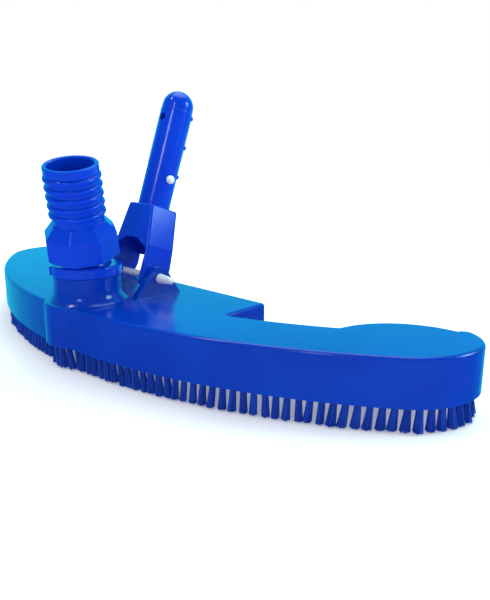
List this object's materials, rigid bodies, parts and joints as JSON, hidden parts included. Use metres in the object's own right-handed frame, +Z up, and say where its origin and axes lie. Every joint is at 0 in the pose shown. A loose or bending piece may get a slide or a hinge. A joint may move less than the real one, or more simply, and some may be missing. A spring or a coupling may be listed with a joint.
{
  "type": "pool vacuum head",
  "caption": "Crescent pool vacuum head with a bristle skirt, a swivelling and tilting hose coupling and a folding pole handle",
  "frame": {"origin": "middle of the whole footprint, on the floor plane under the bristle tips; the neck axis is 41.45 mm in front of it", "axes": "+Z up; +X to the right along the head; +Y to the rear, where the handle stands; -Y to the convex bristled front"},
  "size_m": [0.484, 0.1498, 0.1858],
  "materials": {
    "shell": "moulded, glossy blue",
    "plate": "moulded, glossy blue",
    "bristle": "dark blue nylon filament",
    "white": "white acetal",
    "seal": "black rubber",
    "steel": "stainless",
    "spring": "spring steel strip",
    "ballast": "dark cast weight"
  },
  "bodies": {
    "head": {"head_shell": "shell", "brush_plate": "plate", "plate_screws": "steel", "left_ballast": "ballast", "right_ballast": "ballast", "ballast_screws": "steel", "retaining_ring": "shell", "ball_seal": "seal", "pivot_pin": "white", "pin_cap": "white", "pivot_washers": "white", "front_tufts": "bristle", "left_end_tufts": "bristle", "right_end_tufts": "bristle"},
    "swivel_seat": {"ball_seat": "white"},
    "hose_coupling": {"hose_coupling": "shell"},
    "handle": {"handle_fork": "shell", "spring_clip": "spring"},
    "button_left": {"left_button": "white"},
    "button_right": {"right_button": "white"}
  },
  "joints": [
    {"name": "hose_swivel", "type": "hinge", "parent": "head", "child": "swivel_seat", "pos_m": [0, -0.04145, 0.061], "axis": [0, 0, 1], "continuous": true},
    {"name": "hose_tilt", "type": "hinge", "parent": "swivel_seat", "child": "hose_coupling", "pos_m": [0, -0.04145, 0.061], "axis": [0.7349, 0.6782, 0], "range_deg": [-37, 3]},
    {"name": "handle_fold", "type": "hinge", "parent": "head", "child": "handle", "pos_m": [0, -0.00015, 0.0552], "axis": [-1, 0, 0], "range_deg": [-7, 65]},
    {"name": "button_left_press", "type": "slide", "parent": "handle", "child": "button_left", "axis": [1, 0, 0], "range_m": [0, 0.0028], "deforming": ["spring_clip"]},
    {"name": "button_right_press", "type": "slide", "parent": "handle", "child": "button_right", "axis": [-1, 0, 0], "range_m": [0, 0.0028]}
  ],
  "couplings": [
    {"joint": "button_right_press", "follows": "button_left_press", "ratio": 1}
  ]
}
